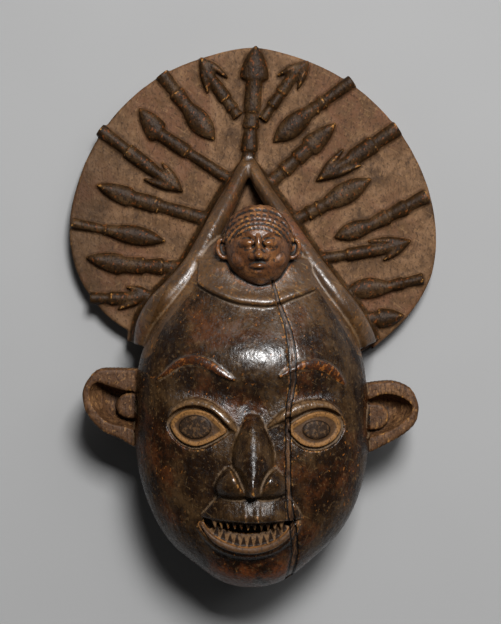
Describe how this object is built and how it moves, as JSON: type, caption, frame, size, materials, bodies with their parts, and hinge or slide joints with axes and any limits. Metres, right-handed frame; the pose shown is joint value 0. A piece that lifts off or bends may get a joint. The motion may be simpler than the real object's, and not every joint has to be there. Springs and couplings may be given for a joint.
{
  "type": "helmet crest mask",
  "caption": "Carved wooden helmet mask with a hollow head open at the neck, cupped ears and a round upright crest of carved spears around a small framed head.",
  "frame": {"origin": "centre of the footprint, on the plane the mask lies on: the flat back of the crest and the flattened back of the head", "axes": "+Z out of the face, +Y from the chin to the top of the crest, +X to the right of someone who looks at the face; the mask lies on its back"},
  "size_m": [0.4824, 0.703, 0.2455],
  "materials": {
    "wood": "dark carved hardwood, hand rubbed to a low gloss on the face, dry and dusty on the crest, ochre left round the eyes"
  },
  "bodies": {
    "root": {"mask": "wood"}
  },
  "joints": []
}
